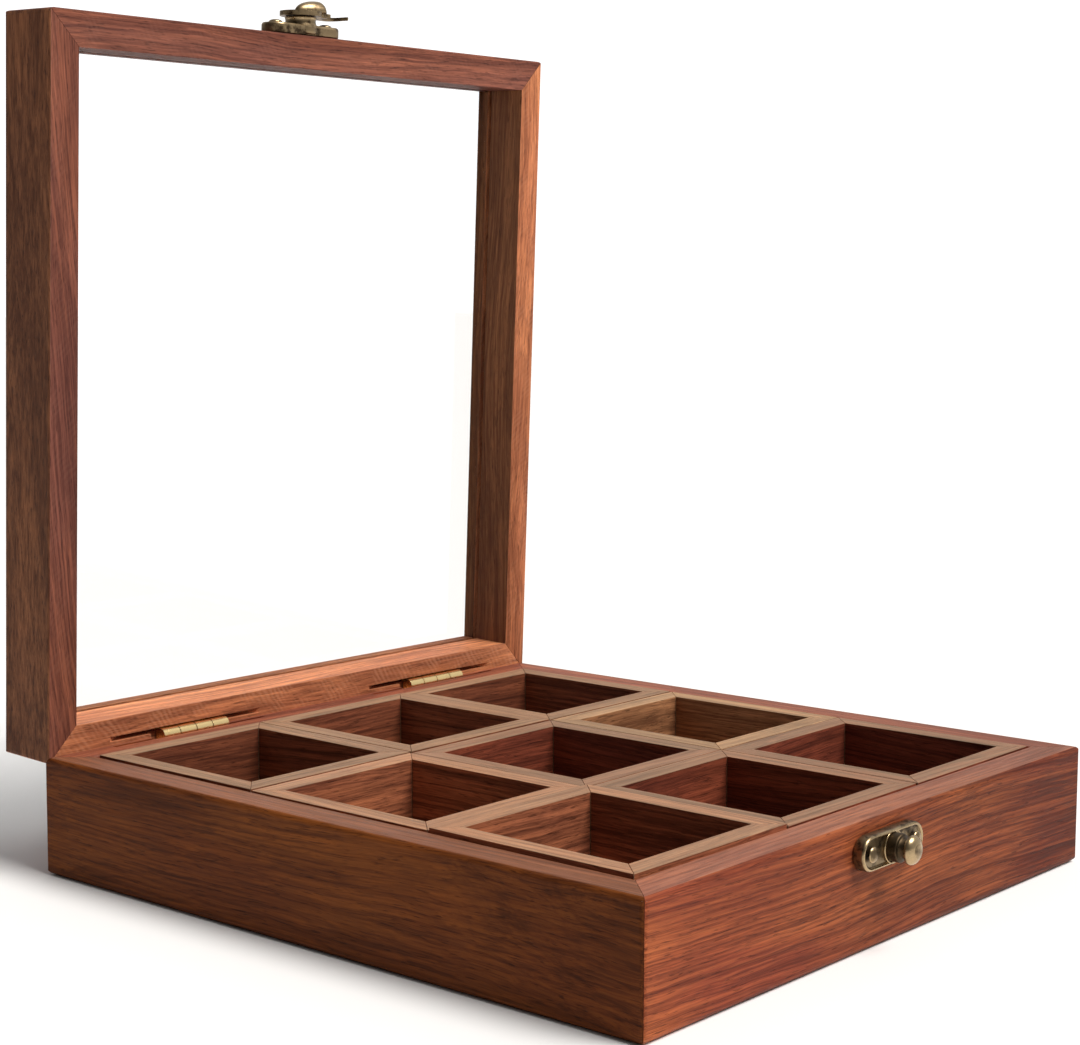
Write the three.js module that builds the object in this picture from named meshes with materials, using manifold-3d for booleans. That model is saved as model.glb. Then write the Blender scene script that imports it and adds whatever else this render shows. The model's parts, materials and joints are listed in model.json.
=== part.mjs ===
// Spice box (masala dabba): a square rosewood tray of nine loose square cups, closed by a framed
// glass lid on two brass butt hinges and held shut by a brass swing hook on a headed peg.
//
// Frame: origin at the centre of the tray's underside, +X to the right along the front,
// +Y to the hinge side, +Z up. Millimetres. The lid is modelled closed and then opened.

import * as THREE from 'three';
import { mergeVertices } from 'three/addons/utils/BufferGeometryUtils.js';
import Module from 'manifold-3d';

const wasm = await Module();
wasm.setup();

// ---- driving dimensions -------------------------------------------------------------------

const SIDE = 203.2;             // the box is 8 inches square
const TRAY_HEIGHT = 32.8;
const TRAY_WALL = 10.4;
const LID_HEIGHT = 20;          // with the tray and the closing gap, 53 mm in all
const LID_RAIL = 9.7;
const CLOSING_GAP = 0.3;        // between the tray's rim and the closed lid
const JOINT_GAP = 0.3;          // between glued or resting pieces
const OPEN_ANGLE = 88;          // degrees that the lid opens, to its stop

const PANEL_THICKNESS = 3.4;
const PANEL_REBATE = 4;         // how far the bottom panel is let into the walls

const GLASS_THICKNESS = 2;
const GLASS_ABOVE_MATING = 13.2;
const GLASS_GROOVE = 3.2;       // depth of the groove that holds the pane

const OUTER_ROUND = 1.6;        // the sanded outer arrises
const FOOT_ROUND = 2.4;
const INNER_ROUND = 0.6;

const CUPS_PER_SIDE = 3;
const CUP_SIZE = 60.3;
const CUP_PITCH = 60.75;
const CUP_WALL = 6;
const CUP_FLOOR = 2.6;
const CUP_LIFT_GAP = 0.2;       // the cup's base over the panel
const CUP_TOPS = [              // height of each cup's rim over the tray's rim, left to right
  [1.5, 0.7, 0.9],              // front row
  [0.8, 0.5, 0.6],              // middle row
  [0.9, 0.7, 0.6],              // back row
];

const HINGE_INSET = 2.2;        // pin axis in from the back face
const HINGE_LENGTH = 24.9;
const KNUCKLES = 4;
const KNUCKLE_RADIUS = 2;
const KNUCKLE_BORE = 0.95;
const KNUCKLE_GAP = 0.3;
const PIN_RADIUS = 0.8;
const LEAF_THICKNESS = 0.8;
const LEAF_DEPTH = 7;           // from the pin axis to the leaf's far edge
const LEAF_CLEAR = 2.5;         // from the pin axis to the leaf's full width
const NOTCH_RADIUS = 2.4;
const NOTCH_TAIL = 3.4;         // the notch is cut this much too long at its left end
const SAW_RADIUS = 50;          // disc that cut the leaf slots
const SAW_SIDES = 72;
const SAW_DEPTH = 9.2;
const HINGES = [
  { name: 'hinge_left', centre: -49, saw: -51 },
  { name: 'hinge_right', centre: 55.5, saw: 54 },
];
const BRAD_RADIUS = 0.7;
const BRAD_LENGTH = 7;
const BRAD_SPREAD = 7;          // each side of the hinge's middle
const BRAD_OFFSET = 4.7;        // from the pin axis
const BRAD_SINK = 0.1;

const PLATE_LENGTH = 28.4;
const PLATE_HEIGHT = 8.8;
const PLATE_THICKNESS = 3.3;
const NAIL_SPREAD = 10.2;
const NAIL_HEAD = 2.1;
const NAIL_HEAD_HEIGHT = 0.9;
const NAIL_RADIUS = 0.7;
const NAIL_LENGTH = 8.5;
const NAIL_POINT = 1.5;
const HEAD_CLEARANCE = 0.1;     // under the nails' and the rivet's heads
const HOLE_CLEARANCE = 0.15;

const LATCH = { x: -4.6, z: 38.5 };     // swing hook's pivot on the lid front, lid closed
const KEEPER = { x: -4.6, z: 25.5 };    // peg on the tray front
const POST_RADIUS = 5.1;
const POST_CHAMFER = 0.5;
const POST_HEIGHT = 2.4;
const ARM_GAP = 0.2;
const ARM_THICKNESS = 1.5;
const ARM_HUB = 6.2;
const ARM_BACK = 5;             // from the pivot's line to the arm's back edge
const ARM_FRONT = 2.6;          // and to the edge that the mouth opens in
const ARM_CORNER = 4;
const MOUTH_RADIUS = 3;
const HOOK_LIP = 1.9;
const KNOB_OFFSET = 5;          // thumb knob's centre from the pivot
const KNOB_RADIUS = 3.9;
const KNOB_UNDERCUT = 2;
const KNOB_HEIGHT = 4;
const RIVET_RADIUS = 1.1;
const RIVET_HEAD = 1.5;
const RIVET_HEAD_HEIGHT = 0.8;
const PEG_NECK = 2.4;
const PEG_HEAD = 3.7;
const PEG_HEAD_START = 7.8;     // out from the tray's front face
const PEG_HEAD_RIM = 0.9;
const PEG_LENGTH = 10;
const PEG_SHANK = 3;            // how far the peg goes into the wood

// ---- values that follow from them ---------------------------------------------------------

const HALF = SIDE / 2;
const FRONT = -HALF;
const CAVITY = HALF - TRAY_WALL;
const LID_BOTTOM = TRAY_HEIGHT + CLOSING_GAP;
const LID_TOP = LID_BOTTOM + LID_HEIGHT;
const AXIS = { y: HALF - HINGE_INSET, z: TRAY_HEIGHT + CLOSING_GAP / 2 };
const GLASS_BOTTOM = LID_BOTTOM + GLASS_ABOVE_MATING;
const ARM_START = PLATE_THICKNESS + POST_HEIGHT + ARM_GAP;

// ---- materials ------------------------------------------------------------------------------

const material = (color, roughness, metalness) =>
  new THREE.MeshStandardMaterial({ color, roughness, metalness });
const darkRosewood = () => material(0x4f3020, 0.55, 0);
const redRosewood = () => material(0x8a4a30, 0.5, 0);
const paleRosewood = () => material(0xb9744c, 0.5, 0);
const cupWood = () => material(0x9a6b4c, 0.6, 0);
const cupFloorWood = () => material(0x5a3826, 0.65, 0);
const panelWood = () => material(0x6b452c, 0.65, 0);
const brightBrass = () => material(0xd6a748, 0.25, 1);
const antiqueBrass = () => material(0x7d6a3c, 0.35, 1);
const clearGlass = () => {
  const glass = material(0xdfe8e4, 0.05, 0);
  glass.transparent = true;
  glass.opacity = 0.3;
  return glass;
};

// ---- solids -----------------------------------------------------------------------------------

// A closed three.js geometry as a solid that can be cut and joined.
function solid(geometry) {
  const shell = geometry.clone();
  shell.deleteAttribute('normal');
  shell.deleteAttribute('uv');
  const merged = mergeVertices(shell, 1e-4);
  const vertProperties = new Float32Array(merged.attributes.position.array);
  const triVerts = new Uint32Array(merged.index.array);
  return new wasm.Manifold(new wasm.Mesh({ numProp: 3, vertProperties, triVerts }));
}

function piece(name, body, look) {
  const cut = body.getMesh();
  const geometry = new THREE.BufferGeometry();
  const stride = cut.numProp;
  const positions = new Float32Array((cut.vertProperties.length / stride) * 3);
  for (let vertex = 0; vertex < positions.length / 3; vertex++) {
    for (let k = 0; k < 3; k++) positions[3 * vertex + k] = cut.vertProperties[stride * vertex + k];
  }
  geometry.setAttribute('position', new THREE.BufferAttribute(positions, 3));
  geometry.setIndex(new THREE.BufferAttribute(new Uint32Array(cut.triVerts), 1));
  geometry.computeVertexNormals();
  const mesh = new THREE.Mesh(geometry, look);
  mesh.name = name;
  return mesh;
}

function block(low, high) {
  const size = high.map((value, k) => value - low[k]);
  const geometry = new THREE.BoxGeometry(...size);
  geometry.translate(...low.map((value, k) => value + size[k] / 2));
  return solid(geometry);
}

function rodAlongX(x0, x1, y, z, radius, sides = 24) {
  const geometry = new THREE.CylinderGeometry(radius, radius, x1 - x0, sides);
  geometry.rotateZ(Math.PI / 2);
  geometry.translate((x0 + x1) / 2, y, z);
  return solid(geometry);
}

function rodAlongY(x, z, y0, y1, radius, sides = 20) {
  const geometry = new THREE.CylinderGeometry(radius, radius, y1 - y0, sides);
  geometry.translate(x, (y0 + y1) / 2, z);
  return solid(geometry);
}

// A solid turned about an axis that comes straight out of the front face at (x, z). The profile
// is a list of [radius, distance out of the face].
function turnedOnFront(profile, x, z, sides = 28) {
  const points = profile.map(([radius, out]) => new THREE.Vector2(radius, out));
  const geometry = new THREE.LatheGeometry(points, sides);
  geometry.rotateX(Math.PI);
  geometry.translate(x, FRONT, z);
  return solid(geometry);
}

// Profile points of a low dome: from its rim, at the given distance out, to its crown.
function domeProfile(radius, base, height, steps = 5) {
  const points = [];
  for (let step = 0; step <= steps; step++) {
    const angle = (step / steps) * (Math.PI / 2);
    const across = step === steps ? 0 : radius * Math.cos(angle);
    points.push([across, base + height * Math.sin(angle)]);
  }
  return points;
}

// A flat outline in the plane of the front face, from one distance out of the face to another.
function plateOnFront(outline, out0, out1) {
  const geometry = new THREE.ExtrudeGeometry(outline, {
    depth: out1 - out0,
    bevelEnabled: false,
    curveSegments: 12,
  });
  geometry.rotateX(Math.PI / 2);
  geometry.translate(0, FRONT - out0, 0);
  return solid(geometry);
}

// Outline of a bar with rounded ends, centred at (x, z).
function stadium(x, z, length, height) {
  const radius = height / 2;
  const reach = length / 2 - radius;
  const outline = new THREE.Shape();
  outline.absarc(x + reach, z, radius, -Math.PI / 2, Math.PI / 2);
  outline.absarc(x - reach, z, radius, Math.PI / 2, 1.5 * Math.PI);
  return outline;
}

// Cross-section of a rail lying along the front: y across it, z up, with rounded arrises.
function railSection(width, bottom, top, outerLow, outerHigh) {
  const outer = FRONT;
  const inner = FRONT + width;
  const section = new THREE.Shape();
  section.moveTo(inner - INNER_ROUND, top);
  section.lineTo(outer + outerHigh, top);
  section.absarc(outer + outerHigh, top - outerHigh, outerHigh, Math.PI / 2, Math.PI);
  section.lineTo(outer, bottom + outerLow);
  section.absarc(outer + outerLow, bottom + outerLow, outerLow, Math.PI, 1.5 * Math.PI);
  section.lineTo(inner, bottom);
  section.lineTo(inner, top - INNER_ROUND);
  section.lineTo(inner - INNER_ROUND, top);
  return section;
}

// The section run along the front and cut to 45 degrees at both ends, with a glue gap.
function mitredRail(section) {
  const geometry = new THREE.ExtrudeGeometry(section, {
    depth: SIDE,
    bevelEnabled: false,
    curveSegments: 4,
  });
  // The section's (x, y) becomes (y, z), and its depth runs along X.
  geometry.applyMatrix4(new THREE.Matrix4().makeBasis(
    new THREE.Vector3(0, 1, 0),
    new THREE.Vector3(0, 0, 1),
    new THREE.Vector3(1, 0, 0),
  ));
  geometry.translate(-HALF, 0, 0);
  const slack = JOINT_GAP / Math.SQRT2;
  const wedge = new THREE.Shape([
    new THREE.Vector2(-HALF - 1 + slack, FRONT - 1),
    new THREE.Vector2(HALF + 1 - slack, FRONT - 1),
    new THREE.Vector2(0, -slack),
  ]);
  const prism = new THREE.ExtrudeGeometry(wedge, { depth: 2 * LID_TOP, bevelEnabled: false });
  prism.translate(0, 0, -LID_TOP / 2);
  return solid(geometry).intersect(solid(prism)).intersect(roundedColumn());
}

// A tall square column with rounded corners, which takes the sharp arris off the box's corners.
function roundedColumn() {
  const r = OUTER_ROUND;
  const plan = new THREE.Shape();
  plan.absarc(HALF - r, HALF - r, r, 0, Math.PI / 2);
  plan.absarc(-HALF + r, HALF - r, r, Math.PI / 2, Math.PI);
  plan.absarc(-HALF + r, -HALF + r, r, Math.PI, 1.5 * Math.PI);
  plan.absarc(HALF - r, -HALF + r, r, 1.5 * Math.PI, 2 * Math.PI);
  const geometry = new THREE.ExtrudeGeometry(plan, {
    depth: 2 * LID_TOP,
    bevelEnabled: false,
    curveSegments: 3,
  });
  geometry.translate(0, 0, -LID_TOP / 2);
  return solid(geometry);
}

const quarterTurns = { front: 0, right: 90, back: 180, left: 270 };

// ---- hinges -------------------------------------------------------------------------------------

// What the hinges take out of the tray's back wall (side -1) or the lid's back rail (side +1).
function hingeCuts(side) {
  const mating = side < 0 ? TRAY_HEIGHT : LID_BOTTOM;
  const cuts = HINGES.map(({ centre, saw }) => {
    const x0 = centre - HINGE_LENGTH / 2;
    const x1 = centre + HINGE_LENGTH / 2;
    const notch = rodAlongX(x0 - NOTCH_TAIL, x1 + KNUCKLE_GAP, AXIS.y, AXIS.z, NOTCH_RADIUS);
    const slotFront = AXIS.y - KNUCKLE_RADIUS - JOINT_GAP;
    const slotBack = slotFront + LEAF_THICKNESS + 2 * JOINT_GAP;
    const discCentre = mating + side * (SAW_DEPTH - SAW_RADIUS);
    const slot = rodAlongY(saw, discCentre, slotFront, slotBack, SAW_RADIUS, SAW_SIDES);
    const brads = bradPlaces(centre, side).map(([x, z]) =>
      rodAlongY(x, z, HALF - BRAD_LENGTH - 1, HALF + 1, BRAD_RADIUS + HOLE_CLEARANCE, 12));
    return brads.reduce((all, hole) => all.add(hole), notch.add(slot));
  });
  return cuts[0].add(cuts[1]);
}

function bradPlaces(centre, side) {
  return [-1, 1].map((way) => [centre + way * BRAD_SPREAD, AXIS.z + side * BRAD_OFFSET]);
}

// The back edges are planed off at 45 degrees through the pin axis, and meet as the lid's stop.
function stopBevel(side) {
  const reach = 3 * HINGE_INSET;
  const profile = new THREE.Shape([
    new THREE.Vector2(AXIS.y, AXIS.z),
    new THREE.Vector2(AXIS.y + reach, AXIS.z + side * reach),
    new THREE.Vector2(AXIS.y + reach, AXIS.z - side * 0.5),
    new THREE.Vector2(AXIS.y, AXIS.z - side * 0.5),
  ]);
  const geometry = new THREE.ExtrudeGeometry(profile, { depth: SIDE + 2, bevelEnabled: false });
  geometry.applyMatrix4(new THREE.Matrix4().makeBasis(
    new THREE.Vector3(0, 1, 0),
    new THREE.Vector3(0, 0, 1),
    new THREE.Vector3(1, 0, 0),
  ));
  geometry.translate(-HALF - 1, 0, 0);
  return solid(geometry);
}

// One leaf with every second knuckle: side -1 goes down into the tray, +1 up into the lid.
function hingeLeaf(centre, side) {
  const x0 = centre - HINGE_LENGTH / 2;
  const x1 = centre + HINGE_LENGTH / 2;
  const knuckle = (HINGE_LENGTH - (KNUCKLES - 1) * KNUCKLE_GAP) / KNUCKLES;
  const y0 = AXIS.y - KNUCKLE_RADIUS;
  const y1 = y0 + LEAF_THICKNESS;
  const near = AXIS.z + side * LEAF_CLEAR;
  const far = AXIS.z + side * LEAF_DEPTH;
  let leaf = block([x0, y0, Math.min(near, far)], [x1, y1, Math.max(near, far)]);
  const bore = rodAlongX(x0 - 1, x1 + 1, AXIS.y, AXIS.z, KNUCKLE_BORE, 20);
  for (let k = side < 0 ? 0 : 1; k < KNUCKLES; k += 2) {
    const start = x0 + k * (knuckle + KNUCKLE_GAP);
    const overlap = near + side * 0.5;
    const low = Math.min(AXIS.z, overlap);
    const high = Math.max(AXIS.z, overlap);
    const tab = block([start, y0, low], [start + knuckle, y1, high]);
    const barrel = rodAlongX(start, start + knuckle, AXIS.y, AXIS.z, KNUCKLE_RADIUS);
    leaf = leaf.add(tab.add(barrel));
  }
  leaf = leaf.subtract(bore);
  for (const [x, z] of bradPlaces(centre, side)) {
    leaf = leaf.subtract(rodAlongY(x, z, y0 - 1, y1 + 1, BRAD_RADIUS + HOLE_CLEARANCE, 12));
  }
  return leaf;
}

function addHinges(tray, lid) {
  for (const { name, centre } of HINGES) {
    const x0 = centre - HINGE_LENGTH / 2;
    const x1 = centre + HINGE_LENGTH / 2;
    tray.add(piece(`${name}_tray_leaf`, hingeLeaf(centre, -1), brightBrass()));
    lid.add(piece(`${name}_lid_leaf`, hingeLeaf(centre, 1), brightBrass()));
    tray.add(piece(`${name}_pin`, rodAlongX(x0, x1, AXIS.y, AXIS.z, PIN_RADIUS, 20), brightBrass()));
    for (const [side, group, place] of [[-1, tray, 'tray'], [1, lid, 'lid']]) {
      bradPlaces(centre, side).forEach(([x, z], k) => {
        const start = HALF - BRAD_SINK;
        const brad = rodAlongY(x, z, start - BRAD_LENGTH, start, BRAD_RADIUS, 12);
        group.add(piece(`${name}_${place}_brad_${k + 1}`, brad, brightBrass()));
      });
    }
  }
}

// ---- tray ------------------------------------------------------------------------------------------

function addTray(tray) {
  const section = railSection(TRAY_WALL, 0, TRAY_HEIGHT, FOOT_ROUND, OUTER_ROUND);
  const rebate = block(
    [-SIDE, FRONT + TRAY_WALL - PANEL_REBATE, -1],
    [SIDE, FRONT + TRAY_WALL + 1, PANEL_THICKNESS + JOINT_GAP],
  );
  const looks = { front: redRosewood, right: redRosewood, back: redRosewood, left: darkRosewood };
  for (const [side, turn] of Object.entries(quarterTurns)) {
    let wall = mitredRail(section).subtract(rebate).rotate([0, 0, turn]).subtract(stopBevel(-1));
    if (side === 'back') wall = wall.subtract(hingeCuts(-1));
    if (side === 'front') wall = wall.subtract(nailHoles(KEEPER)).subtract(pegHole());
    tray.add(piece(`tray_${side}_wall`, wall, looks[side]()));
  }
  const reach = CAVITY + PANEL_REBATE - JOINT_GAP;
  const panel = block([-reach, -reach, 0], [reach, reach, PANEL_THICKNESS]);
  tray.add(piece('tray_bottom_panel', panel, panelWood()));
}

// ---- lid -------------------------------------------------------------------------------------------

function addLid(lid) {
  const section = railSection(LID_RAIL, LID_BOTTOM, LID_TOP, INNER_ROUND, OUTER_ROUND);
  const groove = block(
    [-SIDE, FRONT + LID_RAIL - GLASS_GROOVE, GLASS_BOTTOM - JOINT_GAP],
    [SIDE, FRONT + LID_RAIL + 1, GLASS_BOTTOM + GLASS_THICKNESS + JOINT_GAP],
  );
  const looks = { front: redRosewood, right: paleRosewood, back: paleRosewood, left: redRosewood };
  for (const [side, turn] of Object.entries(quarterTurns)) {
    let rail = mitredRail(section).subtract(groove).rotate([0, 0, turn]).subtract(stopBevel(1));
    if (side === 'back') rail = rail.subtract(hingeCuts(1));
    if (side === 'front') rail = rail.subtract(nailHoles(LATCH));
    lid.add(piece(`lid_${side}_rail`, rail, looks[side]()));
  }
  const reach = HALF - LID_RAIL + GLASS_GROOVE - JOINT_GAP;
  const pane = block(
    [-reach, -reach, GLASS_BOTTOM],
    [reach, reach, GLASS_BOTTOM + GLASS_THICKNESS],
  );
  lid.add(piece('lid_glass', pane, clearGlass()));
}

// ---- latch and keeper --------------------------------------------------------------------------------

function nailHoles({ x, z }) {
  const depth = NAIL_LENGTH - PLATE_THICKNESS + 2 * HOLE_CLEARANCE;
  const holes = [-1, 1].map((way) =>
    rodAlongY(x + way * NAIL_SPREAD, z, FRONT - 1, FRONT + depth, NAIL_RADIUS + HOLE_CLEARANCE, 12));
  return holes[0].add(holes[1]);
}

function pegHole() {
  return rodAlongY(KEEPER.x, KEEPER.z, FRONT - 1, FRONT + PEG_SHANK + 1, PEG_NECK + HOLE_CLEARANCE);
}

// A rod straight out of the front face, long enough to pierce any of the fittings.
function punchThrough(x, z, radius, sides) {
  return rodAlongY(x, z, FRONT - 2 * PEG_LENGTH, FRONT + 1, radius, sides);
}

// The cast plate with its two nail holes; it stands off the wood by the joint gap.
function fixingPlate({ x, z }) {
  let plate = plateOnFront(stadium(x, z, PLATE_LENGTH, PLATE_HEIGHT), JOINT_GAP, PLATE_THICKNESS);
  for (const way of [-1, 1]) {
    const across = x + way * NAIL_SPREAD;
    plate = plate.subtract(punchThrough(across, z, NAIL_RADIUS + HOLE_CLEARANCE, 12));
  }
  return plate;
}

function addNails(group, name, { x, z }) {
  const headStart = PLATE_THICKNESS + HEAD_CLEARANCE;
  const profile = [
    [0, headStart - NAIL_LENGTH],
    [NAIL_RADIUS, headStart - NAIL_LENGTH + NAIL_POINT],
    [NAIL_RADIUS, headStart],
    ...domeProfile(NAIL_HEAD, headStart, NAIL_HEAD_HEIGHT, 4),
  ];
  [-1, 1].forEach((way, k) => {
    const nail = turnedOnFront(profile, x + way * NAIL_SPREAD, z, 16);
    group.add(piece(`${name}_nail_${k + 1}`, nail, antiqueBrass()));
  });
}

// The hook lies along +X. Swung a quarter turn down, its round mouth takes in the keeper's peg.
function hookOutline() {
  const { x, z } = LATCH;
  const mouth = x + LATCH.z - KEEPER.z;
  const end = mouth + MOUTH_RADIUS + HOOK_LIP;
  const tip = HOOK_LIP / 2;
  const outline = new THREE.Shape();
  const back = Math.asin(ARM_BACK / ARM_HUB);
  const front = Math.asin(ARM_FRONT / ARM_HUB);
  outline.absarc(x, z, ARM_HUB, back, 2 * Math.PI - front);
  outline.lineTo(mouth - MOUTH_RADIUS, z - ARM_FRONT);
  outline.absarc(mouth, z, MOUTH_RADIUS, Math.PI, 0, true);
  outline.absarc(end - tip, z - ARM_FRONT, tip, Math.PI, 2 * Math.PI);
  outline.absarc(end - ARM_CORNER, z + ARM_BACK - ARM_CORNER, ARM_CORNER, 0, Math.PI / 2);
  return outline;
}

function addLatch(tray, lid) {
  const { x, z } = LATCH;
  const rivetHole = RIVET_RADIUS + HOLE_CLEARANCE;
  const postTop = PLATE_THICKNESS + POST_HEIGHT;
  const post = turnedOnFront(
    [[0, JOINT_GAP], [POST_RADIUS - POST_CHAMFER, JOINT_GAP], [POST_RADIUS, PLATE_THICKNESS],
      [POST_RADIUS - POST_CHAMFER, postTop], [0, postTop]],
    x, z,
  );
  const plate = fixingPlate(LATCH).add(post).subtract(punchThrough(x, z, rivetHole));
  lid.add(piece('latch_plate', plate, antiqueBrass()));

  const armTop = ARM_START + ARM_THICKNESS;
  const rivetTop = armTop + HEAD_CLEARANCE;
  const rivet = turnedOnFront(
    [[0, JOINT_GAP], [RIVET_RADIUS, JOINT_GAP], [RIVET_RADIUS, rivetTop],
      ...domeProfile(RIVET_HEAD, rivetTop, RIVET_HEAD_HEIGHT)],
    x, z, 20,
  );
  lid.add(piece('latch_rivet', rivet, antiqueBrass()));

  const knobBase = ARM_START + ARM_THICKNESS / 3;
  const knob = turnedOnFront(
    [[0, knobBase], [KNOB_RADIUS - KNOB_UNDERCUT, knobBase],
      ...domeProfile(KNOB_RADIUS, armTop - HEAD_CLEARANCE, KNOB_HEIGHT)],
    x + KNOB_OFFSET, z,
  );
  const arm = plateOnFront(hookOutline(), ARM_START, armTop).add(knob);
  const headHole = RIVET_HEAD + HOLE_CLEARANCE;
  const overKnob = armTop + 2 * KNOB_HEIGHT;
  const clearance = turnedOnFront(
    [[0, ARM_START - 1], [rivetHole, ARM_START - 1], [rivetHole, armTop],
      [headHole, armTop], [headHole, overKnob], [0, overKnob]],
    x, z, 20,
  );
  lid.add(piece('latch_hook', arm.subtract(clearance), antiqueBrass()));
  addNails(lid, 'latch', LATCH);

  const pegPlate = fixingPlate(KEEPER).subtract(punchThrough(KEEPER.x, KEEPER.z, PEG_NECK + HOLE_CLEARANCE));
  tray.add(piece('keeper_plate', pegPlate, antiqueBrass()));
  const rimTop = PEG_HEAD_START + PEG_HEAD_RIM;
  const peg = turnedOnFront(
    [[0, -PEG_SHANK], [PEG_NECK, -PEG_SHANK], [PEG_NECK, PEG_HEAD_START - 2 * HEAD_CLEARANCE],
      [PEG_HEAD, PEG_HEAD_START + HEAD_CLEARANCE], ...domeProfile(PEG_HEAD, rimTop, PEG_LENGTH - rimTop)],
    KEEPER.x, KEEPER.z,
  );
  tray.add(piece('keeper_peg', peg, antiqueBrass()));
  addNails(tray, 'keeper', KEEPER);
}

// ---- cups ----------------------------------------------------------------------------------------------

function addCups(tray) {
  const rows = ['front', 'middle', 'back'];
  const columns = ['left', 'centre', 'right'];
  const base = PANEL_THICKNESS + CUP_LIFT_GAP;
  for (let row = 0; row < CUPS_PER_SIDE; row++) {
    for (let column = 0; column < CUPS_PER_SIDE; column++) {
      const x = (column - 1) * CUP_PITCH;
      const y = (row - 1) * CUP_PITCH;
      const top = TRAY_HEIGHT + CUP_TOPS[row][column];
      const out = CUP_SIZE / 2;
      const inside = out - CUP_WALL;
      const name = `cup_${rows[row]}_${columns[column]}`;
      const floor = block([x - out, y - out, base], [x + out, y + out, base + CUP_FLOOR]);
      const wallBase = base + CUP_FLOOR + CUP_LIFT_GAP;
      const walls = block([x - out, y - out, wallBase], [x + out, y + out, top])
        .subtract(block([x - inside, y - inside, 0], [x + inside, y + inside, top + 1]));
      tray.add(piece(`${name}_walls`, walls, cupWood()));
      tray.add(piece(`${name}_floor`, floor, cupFloorWood()));
    }
  }
}

// ---- assembly ------------------------------------------------------------------------------------------

const box = new THREE.Group();
const lidHinge = new THREE.Group();
const lid = new THREE.Group();
lidHinge.position.set(0, AXIS.y, AXIS.z);
lidHinge.rotation.x = THREE.MathUtils.degToRad(-OPEN_ANGLE);
lid.position.set(0, -AXIS.y, -AXIS.z);
lidHinge.add(lid);
box.add(lidHinge);

addTray(box);
addLid(lid);
addHinges(box, lid);
addLatch(box, lid);
addCups(box);

export default box;
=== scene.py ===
import json
import math
import random

import bmesh
import bpy
from mathutils import Matrix, Vector

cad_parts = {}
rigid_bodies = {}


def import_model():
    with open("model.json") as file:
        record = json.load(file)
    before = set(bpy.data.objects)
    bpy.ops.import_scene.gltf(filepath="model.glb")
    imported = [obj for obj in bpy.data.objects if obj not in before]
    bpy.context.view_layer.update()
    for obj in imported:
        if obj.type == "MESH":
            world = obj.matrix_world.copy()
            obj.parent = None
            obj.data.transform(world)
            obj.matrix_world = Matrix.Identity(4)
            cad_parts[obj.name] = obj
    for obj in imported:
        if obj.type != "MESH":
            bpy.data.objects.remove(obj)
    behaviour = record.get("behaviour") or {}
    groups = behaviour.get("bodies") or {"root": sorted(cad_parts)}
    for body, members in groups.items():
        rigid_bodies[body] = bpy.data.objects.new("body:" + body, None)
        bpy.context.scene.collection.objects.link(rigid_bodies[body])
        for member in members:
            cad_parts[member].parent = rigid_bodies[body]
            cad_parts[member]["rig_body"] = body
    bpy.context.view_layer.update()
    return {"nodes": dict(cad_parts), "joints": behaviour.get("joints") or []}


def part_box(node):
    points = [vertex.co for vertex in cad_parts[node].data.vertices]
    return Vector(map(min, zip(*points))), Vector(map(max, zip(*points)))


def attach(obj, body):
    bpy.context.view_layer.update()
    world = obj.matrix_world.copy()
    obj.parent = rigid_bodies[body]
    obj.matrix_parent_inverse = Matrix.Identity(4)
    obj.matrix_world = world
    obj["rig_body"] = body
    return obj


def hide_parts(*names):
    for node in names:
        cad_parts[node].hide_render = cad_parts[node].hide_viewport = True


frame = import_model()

# ---- camera ----------------------------------------------------------------------------------
# The eye stands at the box's front left corner, a little above the open lid's middle, and looks
# along the tray's diagonal, almost level. The small shift keeps the uprights upright.

eye = Vector((-0.4644, -0.3676, 0.1620))
heading, dip, tilt = math.radians(-47.13), math.radians(6.09), math.radians(-0.15)
camera_data = bpy.data.cameras.new("eye")
camera_data.sensor_width = 36.0
camera_data.lens = 72.5
camera_data.shift_x, camera_data.shift_y = 0.1319, -0.0080
camera_data.clip_start, camera_data.clip_end = 0.01, 50.0
camera = bpy.data.objects.new("eye", camera_data)
look = Matrix.Rotation(heading, 4, "Z") @ Matrix.Rotation(math.pi / 2 - dip, 4, "X")
camera.matrix_world = Matrix.Translation(eye) @ look @ Matrix.Rotation(tilt, 4, "Z")
bpy.context.collection.objects.link(camera)
bpy.context.scene.camera = camera

# ---- studio ----------------------------------------------------------------------------------
# A plain near-white floor and backdrop. One wide soft key comes from the front and above, a
# little from the right; the room is dim on the left, so faces turned that way stay dark.

bpy.context.scene.view_settings.view_transform = "Standard"
dim_side, bright_side, seen_sky = 0.06, 0.64, 1.2
sky = bpy.data.worlds.new("sky")
sky.use_nodes = True
sky_tree = sky.node_tree
backdrop = sky_tree.nodes["Background"]
backdrop.inputs["Color"].default_value = (1.0, 1.0, 1.0, 1.0)
path = sky_tree.nodes.new("ShaderNodeLightPath")
seen = sky_tree.nodes.new("ShaderNodeMath")
seen.operation = "MAXIMUM"
sky_tree.links.new(path.outputs["Is Camera Ray"], seen.inputs[0])
sky_tree.links.new(path.outputs["Is Transmission Ray"], seen.inputs[1])
towards = sky_tree.nodes.new("ShaderNodeSeparateXYZ")
sky_tree.links.new(sky_tree.nodes.new("ShaderNodeTexCoord").outputs["Generated"], towards.inputs[0])
room = sky_tree.nodes.new("ShaderNodeMapRange")
room.inputs["From Min"].default_value = -0.8
room.inputs["From Max"].default_value = 0.8
room.inputs["To Min"].default_value = dim_side
room.inputs["To Max"].default_value = bright_side
sky_tree.links.new(towards.outputs["X"], room.inputs["Value"])
strength = sky_tree.nodes.new("ShaderNodeMapRange")
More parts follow.
